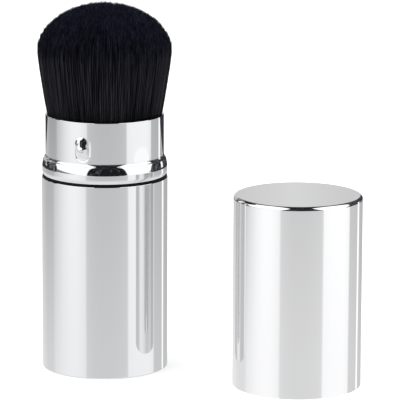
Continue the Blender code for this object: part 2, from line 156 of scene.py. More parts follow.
def new_effect(name, inputs, outputs):
    """An empty shader node group with named sockets, and its input and output nodes."""
    group = bpy.data.node_groups.new(name, "ShaderNodeTree")
    for socket, kind, value in inputs:
        made = group.interface.new_socket(socket, in_out="INPUT", socket_type=kind)
        if value is not None:
            made.default_value = value
    for socket, kind in outputs:
        group.interface.new_socket(socket, in_out="OUTPUT", socket_type=kind)
    return group, add_node(group, "NodeGroupInput"), add_node(group, "NodeGroupOutput")


def make_polish():
    """Lathe polish: a faint haze in patches, and fine lines round the axis."""
    group, given, made = new_effect(
        "lathe_polish",
        [("Vector", "NodeSocketVector", None), ("Roughness", "NodeSocketFloat", 0.06),
         ("Haze", "NodeSocketFloat", 0.02), ("Patch Scale", "NodeSocketFloat", 120.0),
         ("Line Scale", "NodeSocketFloat", 6000.0)],
        [("Roughness", "NodeSocketFloat"), ("Height", "NodeSocketFloat")])
    patches = add_node(group, "ShaderNodeTexNoise",
                       {"Vector": given.outputs["Vector"], "Scale": given.outputs["Patch Scale"],
                        "Detail": 4.0})
    haze = add_node(group, "ShaderNodeMath",
                    {0: patches.outputs["Fac"], 1: given.outputs["Haze"],
                     2: given.outputs["Roughness"]}, operation="MULTIPLY_ADD")
    height = add_node(group, "ShaderNodeSeparateXYZ", {0: given.outputs["Vector"]})
    lines = add_node(group, "ShaderNodeTexNoise",
                     {"W": height.outputs["Z"], "Scale": given.outputs["Line Scale"], "Detail": 2.0},
                     noise_dimensions="1D")
    group.links.new(haze.outputs[0], made.inputs["Roughness"])
    group.links.new(lines.outputs["Fac"], made.inputs["Height"])
    return group


lathe_polish = make_polish()


def polished_metal(name, colour, roughness, haze, line_depth, centre=(0.0, 0.0, 0.0)):
    """A polished or plated metal, its pattern centred on a vertical axis."""
    material = bpy.data.materials.new(name)
    material.use_nodes = True
    tree = material.node_tree
    shader = tree.nodes["Principled BSDF"]
    shader.inputs["Base Color"].default_value = (*colour, 1.0)
    shader.inputs["Metallic"].default_value = 1.0
    place = add_node(tree, "ShaderNodeTexCoord")
    centred = add_node(tree, "ShaderNodeMapping",
                       {"Vector": place.outputs["Object"], "Location": [-c for c in centre]})
    polish = add_node(tree, "ShaderNodeGroup", node_tree=lathe_polish)
    tree.links.new(centred.outputs["Vector"], polish.inputs["Vector"])
    polish.inputs["Roughness"].default_value = roughness
    polish.inputs["Haze"].default_value = haze
    bump = add_node(tree, "ShaderNodeBump", {"Height": polish.outputs["Height"], "Distance": line_depth})
    tree.links.new(polish.outputs["Roughness"], shader.inputs["Roughness"])
    tree.links.new(bump.outputs["Normal"], shader.inputs["Normal"])
    return material


handle_metal = polished_metal("handle aluminium", HANDLE_COLOUR, roughness=0.035, haze=0.03,
                              line_depth=POLISH_LINES)
handle_section = can_section(HANDLE_RADIUS, handle_high.z, HANDLE_WALL, HANDLE_FLOOR, HANDLE_EDGE)
handle_shell = finished("handle_shell", turn(handle_section), handle_metal)
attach(handle_shell, "handle")
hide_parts("body_shell")


# Mouth bushing: a guide sleeve moulded in black plastic and pressed into the handle's
# mouth. Its thin flange lies on the rim and shows as the black line under the collar,
# which is partly the black plastic and partly painted shade: it stands for the shadow
# in the gap between collar and shell.

BUSHING_WALL = 0.45 * MM
FLANGE_THICK = 0.45 * MM
FLANGE_EDGE = 0.1 * MM
PRESS_GAP = 0.3 * MM
BLACK = (0.004, 0.004, 0.005)
MATT_SPECULAR = 0.1           # of black surfaces that hardly shine
FLOW_MARK_SCALE = 150.0       # of the slow changes in a moulding's gloss and tone


def make_moulding():
    """Moulded skin: fine spark grain over slow changes of gloss and tone."""
    group, given, made = new_effect(
        "moulded_skin",
        [("Vector", "NodeSocketVector", None), ("Colour", "NodeSocketColor", (0.5, 0.5, 0.5, 1.0)),
         ("Tone", "NodeSocketFloat", 0.1), ("Roughness", "NodeSocketFloat", 0.4),
         ("Gloss Change", "NodeSocketFloat", 0.1), ("Grain Scale", "NodeSocketFloat", 5000.0)],
        [("Colour", "NodeSocketColor"), ("Roughness", "NodeSocketFloat"), ("Height", "NodeSocketFloat")])
    grain = add_node(group, "ShaderNodeTexNoise",
                     {"Vector": given.outputs["Vector"], "Scale": given.outputs["Grain Scale"],
                      "Detail": 3.0})
    slow = add_node(group, "ShaderNodeTexNoise",
                    {"Vector": given.outputs["Vector"], "Scale": FLOW_MARK_SCALE, "Detail": 3.0})
    gloss = add_node(group, "ShaderNodeMath",
                     {0: slow.outputs["Fac"], 1: given.outputs["Gloss Change"],
                      2: given.outputs["Roughness"]}, operation="MULTIPLY_ADD")
    darker = add_node(group, "ShaderNodeMath", {0: slow.outputs["Fac"], 1: given.outputs["Tone"]},
                      operation="MULTIPLY")
    value = add_node(group, "ShaderNodeMath", {0: 1.0, 1: darker.outputs[0]}, operation="SUBTRACT")
    tone = add_node(group, "ShaderNodeHueSaturation",
                    {"Color": given.outputs["Colour"], "Value": value.outputs[0]})
    group.links.new(tone.outputs["Color"], made.inputs["Colour"])
    group.links.new(gloss.outputs[0], made.inputs["Roughness"])
    group.links.new(grain.outputs["Fac"], made.inputs["Height"])
    return group


moulded_skin = make_moulding()


def moulded(name, colour, roughness, grain_depth, tone=0.2, grain_scale=5000.0):
    """A moulded or cast material with the grain of its mould."""
    material = bpy.data.materials.new(name)
    material.use_nodes = True
    tree = material.node_tree
    shader = tree.nodes["Principled BSDF"]
    place = add_node(tree, "ShaderNodeTexCoord")
    skin = add_node(tree, "ShaderNodeGroup", node_tree=moulded_skin)
    tree.links.new(place.outputs["Object"], skin.inputs["Vector"])
    skin.inputs["Colour"].default_value = (*colour, 1.0)
    skin.inputs["Tone"].default_value = tone
    skin.inputs["Roughness"].default_value = roughness
    skin.inputs["Grain Scale"].default_value = grain_scale
    bump = add_node(tree, "ShaderNodeBump", {"Height": skin.outputs["Height"], "Distance": grain_depth})
    tree.links.new(skin.outputs["Colour"], shader.inputs["Base Color"])
    tree.links.new(skin.outputs["Roughness"], shader.inputs["Roughness"])
    tree.links.new(bump.outputs["Normal"], shader.inputs["Normal"])
    return material


black_plastic = moulded("black plastic", BLACK, roughness=0.45, grain_depth=0.004 * MM)
black_shader = black_plastic.node_tree.nodes["Principled BSDF"]
black_shader.inputs["Specular IOR Level"].default_value = MATT_SPECULAR
bushing_low, bushing_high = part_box("mouth_bushing")
BUSHING_RADIUS = HANDLE_RADIUS - HANDLE_WALL - PRESS_GAP
bushing_bore = BUSHING_RADIUS - BUSHING_WALL
under_flange = bushing_high.z - FLANGE_THICK
flange_edge = arc(bushing_high.x - FLANGE_EDGE, bushing_high.z - FLANGE_EDGE, FLANGE_EDGE, 90, 0,
                  EDGE_STEPS // 2)
bushing_section = [(bushing_bore, bushing_high.z)] + flange_edge + [
    (bushing_high.x, under_flange), (BUSHING_RADIUS, under_flange),
    (BUSHING_RADIUS, bushing_low.z), (bushing_bore, bushing_low.z)]
bushing = finished("bushing", turn(bushing_section), black_plastic)
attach(bushing, "handle")
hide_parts("mouth_bushing")


# Base core and stem: moulded in uncoloured plastic. The core is pressed into the shell's
# floor, and the stem stands in its socket and carries the hair cup.


def dress(names, material):
    """Give CAD pieces their finish."""
    for name in names:
        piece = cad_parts[name]
        piece.material_slots[0].material = material


natural_plastic = moulded("natural plastic", (0.72, 0.70, 0.64), roughness=0.42,
                          grain_depth=0.006 * MM, tone=0.12)
dress(["base_core", "stem"], natural_plastic)


# Screws: two zinc-plated steel screws with crossed slots. One holds the stem to the core
# from below, and the other holds the hair cup to the stem.

zinc = polished_metal("zinc plate", (0.60, 0.60, 0.57), roughness=0.28, haze=0.15,
                      line_depth=0.0004 * MM)
dress(["lower_screw", "upper_screw"], zinc)


# Hair cup and friction ring: a black moulded cup on the stem, and a rubber O-ring in its
# groove that rubs in the sleeve and holds it where it is put.

rubber = moulded("black rubber", (0.012, 0.012, 0.012), roughness=0.62, grain_depth=0.01 * MM,
                 tone=0.3, grain_scale=2500.0)
dress(["tuft_cup"], black_plastic)
dress(["friction_ring"], rubber)


# Binding ring and glue: a thin aluminium ring crimped round the hair's root, and the
# amber glue that was poured into the cup under it.

binding_metal = polished_metal("binding aluminium", (0.78, 0.79, 0.80), roughness=0.25, haze=0.2,
                               line_depth=0.0006 * MM)
cured_glue = moulded("cured glue", (0.62, 0.45, 0.18), roughness=0.12, grain_depth=0.02 * MM,
                     tone=0.35, grain_scale=400.0)
dress(["binding_ring"], binding_metal)
dress(["glue_plug"], cured_glue)


# Hair root: the glued foot of the tuft, a solid disc of cut filaments that fills the cup
# and ends just below the neck's mouth, where the free hair starts.

tube_low, tube_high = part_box("sleeve_tube")
hair_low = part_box("bristle_tuft")[0]
cup_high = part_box("tuft_cup")[1]
binding_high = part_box("binding_ring")[1]
MOUTH_HEIGHT = tube_high.z
CUP_LIP_RADIUS = 13.1 * MM
ROOT_RADIUS = 12.4 * MM
ROOT_TOP_RADIUS = 14.3 * MM
ROOT_TOP = MOUTH_HEIGHT - 0.8 * MM
# The light colours are painted sheen: light lines along the strands, and a bluish sheen at the tips.
HAIR_DARK = (0.0026, 0.0024, 0.0036)
HAIR_SHEEN = (0.048, 0.046, 0.057)
TIP_SHEEN_DARK = (0.0014, 0.0015, 0.0038)
TIP_SHEEN_LIGHT = (0.036, 0.040, 0.072)
HAIR_GLOSS = (0.60, 0.45)     # roughness of the dark and of the light lines
HAIR_SPECULAR = 0.06
STREAK_SCALE = (400.0, 400.0, 80.0)  # across and along the flow, of how strong the lines are
STREAK_RANGE = (0.25, 0.75)
LINES_ROUND = 175             # painted sheen lines round the tuft, one along each wisp of filaments
LINE_START = -0.7             # of the wave across the lines, below which it is fully dark
LINE_WANDER = 12.0            # how far the lines wander sideways, in radians of that wave
WANDER_SCALE = (25.0, 25.0, 60.0)
TIP_RISES = (8 * MM, 24 * MM)  # over the mouth, between which the painted bluish sheen of the tips comes in


def make_hair_material():
    """Fine black filaments, with painted sheen: light lines along the strands, bluish at their tips.

    A strand's flow is its place round the axis and the height along it.
    """
    material = bpy.data.materials.new("black filaments")
    material.use_nodes = True
    tree = material.node_tree
    shader = tree.nodes["Principled BSDF"]
    flow = add_node(tree, "ShaderNodeAttribute", attribute_name="flow")

    def along_strands(scale):
        stretched = add_node(tree, "ShaderNodeVectorMath", {0: flow.outputs["Vector"], 1: scale},
                             operation="MULTIPLY")
        pattern = add_node(tree, "ShaderNodeTexNoise",
                           {"Vector": stretched.outputs["Vector"], "Scale": 1.0, "Detail": 1.0})
        return pattern.outputs["Fac"]

    strength = add_node(tree, "ShaderNodeMapRange",
                        {"Value": along_strands(STREAK_SCALE), "From Min": STREAK_RANGE[0],
                         "From Max": STREAK_RANGE[1]})
    place = add_node(tree, "ShaderNodeSeparateXYZ", {0: flow.outputs["Vector"]})
    azimuth = add_node(tree, "ShaderNodeMath", {0: place.outputs["Y"], 1: place.outputs["X"]},
                       operation="ARCTAN2")
    wander = add_node(tree, "ShaderNodeMath", {0: along_strands(WANDER_SCALE), 1: LINE_WANDER},
                      operation="MULTIPLY")
    phase = add_node(tree, "ShaderNodeMath",
                     {0: azimuth.outputs[0], 1: LINES_ROUND, 2: wander.outputs[0]},
                     operation="MULTIPLY_ADD")
    wave = add_node(tree, "ShaderNodeMath", {0: phase.outputs[0]}, operation="SINE")
    # Where the light lines of painted sheen lie, and how strong they are
    line = add_node(tree, "ShaderNodeMapRange",
                    {"Value": wave.outputs[0], "From Min": LINE_START,
                     "To Max": strength.outputs["Result"]}).outputs["Result"]
    # How far up the painted bluish sheen of the tips has come
    tip_sheen_share = add_node(tree, "ShaderNodeMapRange",
                      {"Value": place.outputs["Z"], "From Min": MOUTH_HEIGHT + TIP_RISES[0],
                       "From Max": MOUTH_HEIGHT + TIP_RISES[1]})
    shaft = mixed(tree, line, (*HAIR_DARK, 1.0), (*HAIR_SHEEN, 1.0))
    tip = mixed(tree, line, (*TIP_SHEEN_DARK, 1.0), (*TIP_SHEEN_LIGHT, 1.0))
    colour = mixed(tree, tip_sheen_share.outputs["Result"], shaft, tip)
    gloss = add_node(tree, "ShaderNodeMapRange",
                     {"Value": line, "To Min": HAIR_GLOSS[0], "To Max": HAIR_GLOSS[1]})
    tree.links.new(colour, shader.inputs["Base Color"])
    tree.links.new(gloss.outputs["Result"], shader.inputs["Roughness"])
    shader.inputs["Specular IOR Level"].default_value = HAIR_SPECULAR
    return material


hair_material = make_hair_material()
root_section = [(0.0, ROOT_TOP), (ROOT_TOP_RADIUS, ROOT_TOP), (CUP_LIP_RADIUS, cup_high.z),
                (ROOT_RADIUS, binding_high.z), (ROOT_RADIUS, hair_low.z), (0.0, hair_low.z)]
hair_root = finished("hair_root", turn(root_section), hair_material)
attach(hair_root, "handle")
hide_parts("bristle_tuft")


# Free hair: thousands of fine black filaments that stand close together, bulge out over
# the mouth's rim, fan out to the waist and end in a full dome. They are made in twelve
# locks round the axis.

LOCKS = 12
HAIR_ROWS = 72
STRAND_FILL = 0.8             # of a strand's cell that the strand itself fills
STRAND_TIP = 0.35             # of a strand's width that is left at its tip
BULGE_RISE = 0.5 * MM
BULGE_RADIUS = 15.12 * MM
MOUTH_RADIUS = 14.9 * MM
FLARE_SLOPE = 0.163           # how much the tuft widens with its height
STRAIGHT_RISE = 14.2 * MM     # where the flare begins to ease
EASE_RISE = 3.4 * MM
WAIST_RISE = 15.9 * MM        # where the dome begins
DOME_RISE = 12.9 * MM
TIP_GATHER = 0.985            # share of the tuft's radius to which the tips draw in
BODY_SHARES = (0.2, 0.42, 0.64, 0.84, 1.0)  # of a strand's free length, where its rings lie
TIP_SCATTER = 0.9 * MM        # how far inside the dome a strand may end
STRAY_SHARE = 0.16            # of the strands that stand a little out of the dome
STRAY_LENGTH = 0.55 * MM
STRAY_LEAN = 0.32 * MM
WISP_SCALE = 9.0
WISP_LEAN = 0.04 * MM
FINE_WISP_SCALE = 45.0
FINE_WISP_LEAN = 0.12 * MM
WISP_SEED = 1                 # of the wisps' noise, which is otherwise seeded by the clock
FLOW_SPREAD = 0.15            # how much the flow's radius shrinks from the tuft's side inwards


def tuft_radius(rise):
    """Radius of the tuft by the height over the mouth: a straight flare that eases at the waist."""
    past = min(max(rise - STRAIGHT_RISE, 0.0), EASE_RISE)
    widening = min(rise, STRAIGHT_RISE) + past - past ** 2 / (2 * EASE_RISE)
    return BULGE_RADIUS + FLARE_SLOPE * widening


def strand_path(place, chance):
    """Middles of a strand's rings, from its root to its tip; place is on the unit disc."""
    wisp = noise.noise_vector(place * WISP_SCALE)
    fine_wisp = noise.noise_vector(place * FINE_WISP_SCALE)
    stray = Vector((chance.uniform(-1, 1), chance.uniform(-1, 1), 0.0)) * STRAY_LEAN
    lean = wisp.xy.to_3d() * WISP_LEAN + fine_wisp.xy.to_3d() * FINE_WISP_LEAN
    dome = DOME_RISE * (1 - min(place.length * TIP_GATHER, 1.0) ** 2) ** 0.5
    scatter = -TIP_SCATTER * chance.random() ** 2
    if chance.random() < STRAY_SHARE:
        scatter = STRAY_LENGTH * chance.random()
        lean += stray
    free_length = WAIST_RISE + dome + scatter - BULGE_RISE
    path = [(place * ROOT_TOP_RADIUS, ROOT_TOP - RIM_BEVEL), (place * MOUTH_RADIUS, MOUTH_HEIGHT),
            (place * BULGE_RADIUS, MOUTH_HEIGHT + BULGE_RISE)]
    for share in BODY_SHARES:
        rise = BULGE_RISE + free_length * share
        gathered = 1 - (1 - TIP_GATHER) * share ** 3
        middle = place * tuft_radius(rise) * gathered + lean * share ** 1.5
        path.append((middle, MOUTH_HEIGHT + rise))
    return [Vector((middle.x, middle.y, height)) for middle, height in path]


def unit_disc(rows):
    """A disc of triangles: a hexagon's grid, each of its rings rounded to a circle."""
    bm = bmesh.new()
    bmesh.ops.create_circle(bm, cap_ends=True, cap_tris=True, segments=6, radius=1)
    bmesh.ops.subdivide_edges(bm, edges=bm.edges, cuts=rows - 1, use_grid_fill=True)
    side = math.pi / 3
    for vert in bm.verts:
        from_side_middle = (math.atan2(vert.co.y, vert.co.x) + side / 2) % side - side / 2
        vert.co *= math.cos(from_side_middle) / math.cos(side / 2)
    return bm


def make_lock(number, disc):
    """The strands of one sector of the disc, each a closed three-sided spike."""
    chance = random.Random(number)
    bm = disc.copy()
    sector = math.tau / LOCKS
    others = []
    for face in bm.faces:
        middle = face.calc_center_median()
        if int((math.atan2(middle.y, middle.x) % math.tau) / sector) % LOCKS != number:
            others.append(face)
    bmesh.ops.delete(bm, geom=others, context="FACES")
    bmesh.ops.split_edges(bm, edges=bm.edges)
    strand_of = bm.verts.layers.int.new("strand")
    flow_of = bm.verts.layers.float_vector.new("flow")
    paths = []
    turns = []
    for index, face in enumerate(bm.faces):
        place = face.calc_center_median()
        paths.append(strand_path(place, chance))
        turns.append(Matrix.Rotation(chance.uniform(0, math.tau / 3), 3, "Z"))
        around = place.normalized() * (1 - FLOW_SPREAD * (1 - place.length))
        for vert in face.verts:
            vert[strand_of] = index
            vert[flow_of] = (around.x, around.y, ROOT_TOP)
            vert.co = paths[-1][0] + (vert.co - place) * ROOT_TOP_RADIUS * STRAND_FILL
    tops = bm.faces[:]
    rings = len(paths[0])
    for ring in range(1, rings):
        geometry = tops + (bm.edges[:] + bm.verts[:] if ring == 1 else [])
        made = bmesh.ops.extrude_face_region(bm, geom=geometry, use_keep_orig=ring == 1)["geom"]
        tops = [item for item in made if isinstance(item, bmesh.types.BMFace)]
        width = STRAND_TIP if ring == rings - 1 else 1.0
        for vert in (item for item in made if isinstance(item, bmesh.types.BMVert)):
            path = paths[vert[strand_of]]
            from_middle = vert.co - path[ring - 1]
            if ring == 1:
                from_middle.rotate(turns[vert[strand_of]])
            vert.co = path[ring] + from_middle * width
            vert[flow_of].z = path[ring].z
    return finished(f"hair_lock_{number + 1}", bm, hair_material, sharp_angle=180)


noise.seed_set(WISP_SEED)
disc = unit_disc(HAIR_ROWS)
for number in range(LOCKS):
    lock = make_lock(number, disc)
    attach(lock, "handle")
    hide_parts("bristle_tuft")
    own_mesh(lock)
disc.free()


# Sleeve tube: neck and running tube, drawn in one from aluminium and polished. Two pips
# stamped in the neck from inside grip the cap, each over a shallow dish with a tongue.

collar_low, collar_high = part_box("collar_ring")
NECK_RADIUS = 15.5 * MM
SLIDE_RADIUS = 15.0 * MM
TUBE_WALL = 0.5 * MM
SHOULDER_HEIGHT = collar_low.z + 1.1 * MM
SHOULDER_RISE = 0.5 * MM
PIP_TURN = math.radians(-90 - 20.4)
PIP_HEIGHT = MOUTH_HEIGHT - 5.75 * MM
PIP_HALF_WIDTH = 2.05 * MM
PIP_HALF_LENGTH = 2.3 * MM
PIP_PROUD = 0.5 * MM
PIP_EDGE_SHARE = 0.45         # of its half width, over which the pip falls away to the sheet
PIP_CROWN_SHARE = 0.4         # of its height that it loses towards its sides
PIP_SLANT_SHARES = (0.7, 0.9)  # of its height that it gains on its left and its lower side
DISH_SHIFT = 0.2 * MM
DISH_HALF_WIDTH = 2.3 * MM
DISH_BOTTOM = 4.8 * MM
DISH_WALL = 0.6 * MM
DISH_DEPTH = 0.11 * MM
DISH_STARTS = (-0.6, 0.4)     # in half lengths of the pip below its middle
TONGUE_PROUD = 0.25 * MM
TONGUE_STARTS = (0.5 * MM, 1.5 * MM)
TONGUE_ENDS = (0.6 * MM, 3.2 * MM)
TONGUE_SIDES = (0.48 * MM, 1.38 * MM)
PIP_RING = 0.2 * MM
PIP_CUTS = 2
NECK_COLOUR = (0.785, 0.79, 0.795)


def eased(value, start, end):
    """Nought before start and one after end, with a smooth step between them."""
    share = min(max((value - start) / (end - start), 0.0), 1.0)
    return share ** 2 * (3 - 2 * share)


def stamped(along, rise):
    """How far the sheet stands out, by the distance along the wall and up it from a pip.

    The pip is proudest at its lower left, and lies in the top of a shallow U-shaped dish,
    in which a low tongue runs down from it.
    """
    side = along / PIP_HALF_WIDTH
    up = rise / PIP_HALF_LENGTH
    slant = 1 - PIP_SLANT_SHARES[0] * side - PIP_SLANT_SHARES[1] * up
    crowned = PIP_PROUD * slant * (1 - PIP_CROWN_SHARE * side ** 2)
    pip = crowned * eased(1 - math.hypot(side, up), 0, PIP_EDGE_SHARE)
    dish_middle = DISH_BOTTOM - DISH_HALF_WIDTH
    inside = DISH_HALF_WIDTH - math.hypot(along - DISH_SHIFT, min(rise + dish_middle, 0.0))
    dish = DISH_DEPTH * eased(inside, 0, DISH_WALL) * eased(-up, *DISH_STARTS)
    tongue = TONGUE_PROUD * eased(-rise, *TONGUE_STARTS) * eased(DISH_BOTTOM + rise, *TONGUE_ENDS)
    return max(pip, 0.0) + tongue * eased(inside, *TONGUE_SIDES) - dish


def wall_rings(radius, start, end):
    """Points up or down a wall, close enough together to take the pips' shape."""
    steps = round(abs(end - start) / PIP_RING)
    return [(radius, start + (end - start) * step / steps) for step in range(steps + 1)]


ring_low = PIP_HEIGHT - DISH_BOTTOM - PIP_RING
ring_high = PIP_HEIGHT + PIP_HALF_LENGTH + PIP_RING
tube_section = ([(NECK_RADIUS - TUBE_WALL, MOUTH_HEIGHT), (NECK_RADIUS - RIM_BEVEL, MOUTH_HEIGHT),
                 (NECK_RADIUS, MOUTH_HEIGHT - RIM_BEVEL)] + wall_rings(NECK_RADIUS, ring_high, ring_low) +
                [(NECK_RADIUS, SHOULDER_HEIGHT + SHOULDER_RISE), (SLIDE_RADIUS, SHOULDER_HEIGHT),
                 (SLIDE_RADIUS, tube_low.z), (SLIDE_RADIUS - TUBE_WALL, tube_low.z),
                 (SLIDE_RADIUS - TUBE_WALL, SHOULDER_HEIGHT),
                 (NECK_RADIUS - TUBE_WALL, SHOULDER_HEIGHT + SHOULDER_RISE)] +
                wall_rings(NECK_RADIUS - TUBE_WALL, ring_low, ring_high))


def along_from_pip(place, pip_turn):
    """Distance along the wall from a pip's middle line, to the right."""
    from_pip = (math.atan2(place.y, place.x) - pip_turn + math.pi) % math.tau - math.pi
    return from_pip * NECK_RADIUS


tube = turn(tube_section)
for pip_turn in (PIP_TURN, PIP_TURN + math.pi):
    reach = DISH_HALF_WIDTH + DISH_SHIFT + PIP_RING
    near = [edge for edge in tube.edges
            if all(ring_low < vert.co.z < ring_high
                   and abs(along_from_pip(vert.co, pip_turn)) < reach for vert in edge.verts)]
    bmesh.ops.subdivide_edges(tube, edges=near, cuts=PIP_CUTS, use_grid_fill=True)
    for vert in tube.verts:
        along = along_from_pip(vert.co, pip_turn)
        if ring_low < vert.co.z < ring_high and abs(along) < reach:
            outward = Vector((vert.co.x, vert.co.y, 0.0))
            inner = outward.length < NECK_RADIUS - TUBE_WALL / 2
            wall = NECK_RADIUS - TUBE_WALL if inner else NECK_RADIUS
            stand = wall + stamped(along, vert.co.z - PIP_HEIGHT)
            vert.co.xy = outward.xy.normalized() * stand
neck_metal = polished_metal("neck aluminium", NECK_COLOUR, roughness=0.03, haze=0.02,
                            line_depth=POLISH_LINES)
sleeve = finished("sleeve", tube, neck_metal)
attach(sleeve, "sleeve")
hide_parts("sleeve_tube")


# Collar ring: turned from aluminium and polished, seated under the neck's shoulder. A
# small cove joins its rounded crown to the neck, and a crisp line ends its lower band.

COLLAR_BAND = 2.3 * MM
COLLAR_LIP = 0.8 * MM
COLLAR_UNDERCUT = 1.1 * MM    # height over which the band is rounded in at its lower edge
UNDERCUT_RADIUS = 2.6 * MM
CROWN_START = 7               # degrees from upright, where the crown meets the band
CROWN_END = 70                # and where it meets the cove
CROWN_HEIGHT = 2.1 * MM
CROWN_WIDTH = 0.53 * MM
CROWN_PULLS = (1.1 * MM, 0.22 * MM)
COVE_TOP = 2.85 * MM          # from the band up
COVE_PULLS = (0.2 * MM, 0.35 * MM)
GROOVE = 0.05 * MM            # depth and half height of the fine line under the crown
SEAT_GAP = 0.02 * MM


def sweep(start, start_tilt, start_pull, end, end_tilt, end_pull, steps):
    """Points of a curve that climbs from start to end; its tilts are from upright, inwards."""
    ahead = Vector((-math.sin(start_tilt), math.cos(start_tilt))) * start_pull
    behind = Vector((-math.sin(end_tilt), math.cos(end_tilt))) * end_pull
    cage = [Vector(start), Vector(start) + ahead, Vector(end) - behind, Vector(end)]
    points = []
    for step in range(steps + 1):
        share = step / steps
        weights = ((1 - share) ** 3, 3 * share * (1 - share) ** 2, 3 * share ** 2 * (1 - share),
                   share ** 3)
        point = sum((corner * weight for corner, weight in zip(cage, weights)), Vector((0.0, 0.0)))
        points.append(tuple(point))
    return points


collar_radius = collar_high.x
band_top = collar_low.z + COLLAR_BAND
neck_side = NECK_RADIUS + SEAT_GAP
undercut_turn = math.degrees(math.asin(COLLAR_UNDERCUT / UNDERCUT_RADIUS))
undercut = arc(collar_radius - UNDERCUT_RADIUS, collar_low.z + COLLAR_UNDERCUT, UNDERCUT_RADIUS,
               -undercut_turn, 0, EDGE_STEPS)
groove = [(collar_radius, band_top - 2 * GROOVE), (collar_radius - GROOVE, band_top - GROOVE)]
waist = (collar_radius - CROWN_WIDTH, band_top + CROWN_HEIGHT)
crown = sweep((collar_radius, band_top), math.radians(CROWN_START), CROWN_PULLS[0],
              waist, math.radians(CROWN_END), CROWN_PULLS[1], 3 * EDGE_STEPS)
cove = sweep(waist, math.radians(CROWN_END), COVE_PULLS[0],
             (neck_side, band_top + COVE_TOP), 0.0, COVE_PULLS[1], EDGE_STEPS)
collar_section = undercut + groove + crown + cove[1:] + [
    (neck_side, collar_low.z + COLLAR_LIP), (SLIDE_RADIUS + PRESS_GAP, collar_low.z + COLLAR_LIP),
    (SLIDE_RADIUS + PRESS_GAP, collar_low.z)]
collar_metal = polished_metal("collar aluminium", NECK_COLOUR, roughness=0.03, haze=0.02,
                              line_depth=POLISH_LINES)
collar = finished("collar", turn(collar_section), collar_metal, sharp_angle=5)
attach(collar, "sleeve")
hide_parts("collar_ring")


# Guide ring: moulded in black plastic and snapped on the tube's lower end. It runs in the
# shell and stops under the bushing when the sleeve is fully up.

dress(["guide_ring"], black_plastic)


# Cap: a second drawn aluminium can, mirror polished, which stands on its open rim beside
# the brush. Its top is flat inside a rounded edge.

CAP_WALL = 0.45 * MM
CAP_TOP = 0.6 * MM
CAP_EDGE = 0.95 * MM
CAP_COLOUR = (0.91, 0.91, 0.915)

cap_low, cap_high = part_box("cap_shell")
cap_centre = (cap_low + cap_high) / 2
cap_centre.z = 0.0
cap_radius = (cap_high.x - cap_low.x) / 2
upside_down = can_section(cap_radius, cap_high.z, CAP_WALL, CAP_TOP, CAP_EDGE)
cap_section = [(distance, cap_high.z - height) for distance, height in upside_down]
cap_mesh = turn(cap_section)
bmesh.ops.translate(cap_mesh, verts=cap_mesh.verts, vec=cap_centre)
cap_metal = polished_metal("cap aluminium", CAP_COLOUR, roughness=0.03, haze=0.03,
                           line_depth=POLISH_LINES, centre=cap_centre)
cap = finished("cap", cap_mesh, cap_metal)
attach(cap, "cap")
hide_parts("cap_shell")


# Table: a pale matt sheet under the brush and its cap. The polished metal doesn't mirror
# it, so that the studio's light reads cleanly down to the base.

TABLE_HALF = 3.0
TABLE_COLOUR = (0.93, 0.93, 0.93)
TABLE_ROUGHNESS = 0.9
TABLE_GLOW = 0.45             # light of its own, which thins out the shadows
table_mesh = bmesh.new()
bmesh.ops.create_grid(table_mesh, x_segments=2, y_segments=2, size=TABLE_HALF)
paper = bpy.data.materials.new("pale table")
paper.use_nodes = True
paper_shader = paper.node_tree.nodes["Principled BSDF"]
paper_shader.inputs["Base Color"].default_value = (*TABLE_COLOUR, 1.0)
paper_shader.inputs["Roughness"].default_value = TABLE_ROUGHNESS
paper_shader.inputs["Emission Color"].default_value = (1.0, 1.0, 1.0, 1.0)
paper_shader.inputs["Emission Strength"].default_value = TABLE_GLOW
table = finished("table", table_mesh, paper)
table.visible_glossy = False


# Studio light: white tents left and right, a dark gap between them in front and overhead,
# and behind the brush a pale wall with bright spotted things left of it and a narrow lamp
# right of it, over a lit table. Angles are seen from the brush, 0 towards the viewer.

GREYS = [  # degrees to the right of the viewer, and the light of the table's far parts there
    (-180, 0.75), (-165, 0.86), (-150, 0.86), (-138, 0.82), (-130, 0.79), (-110, 0.80), (-107, 0.82),
    (-103, 0.90), (-95, 0.94), (-80, 1.01), (-65, 1.05), (-50, 1.05), (-36, 0.99), (-33.5, 0.95),
    (-31, 0.79), (-25, 0.76), (-10, 0.735), (10, 0.735), (30, 0.75), (40, 0.77), (44, 0.80), (46.5, 1.03),
    (60, 1.06), (90, 1.07), (102.5, 1.02), (105.5, 0.71), (120, 0.70), (131, 0.68), (133, 1.2),
    (138, 1.2), (139.5, 0.66), (155, 0.62)]
GLARE_START = -0.25           # height, as a sine, from which the table mirrors the tents
GLARE_RISE = 0.12
GLARE_MIDDLE = 0.95
LEFT_FALL = (-60, -112)       # degrees between which that glare is dulled on the left
LEFT_DULL = 0.44
NEAR_TABLE_LIGHT = 0.92
NEAR_TABLE = (-0.30, -0.45)   # heights between which the table is the one round the brush
SOFTNESS = 0.03               # of the edges of gap, tents, wall and things
TENT_LIGHT = 1.3
TENT_BACK = 0.08              # how far back the tents reach
TENT_SLANT = 0.5              # and how much farther with their height
GAP_RIGHT = (math.radians(46), 0.40, math.radians(17))  # its angle in front, its narrowing
GAP_LEFT = (math.radians(33), 0.36, math.radians(12))   # overhead and its least angle
DARK_LIGHT = 0.015
DARK_SPOTS = 0.1
SPOT_SCALE = 9.0
SPOT_RANGE = (0.5, 0.75)      # of the noise, between which the dark grows lighter
WALL_RIGHT = 0.14
WALL_TOP = 0.34
WALL_LIGHT = 0.715
WALL_MIDDLE = 0.02            # to the right, where the wall is lightest
WALL_DULL = 5.0               # how much light it loses with the way from there
WALL_LEAST = 0.63
THINGS_START = (0.30, 0.36)   # how far to the left the wall gives way to the spotted things
THINGS_LEFT = 0.76
THINGS_TOP = 0.52
THINGS_RANGE = (0.38, 0.54)
THINGS_LIGHT = 0.65
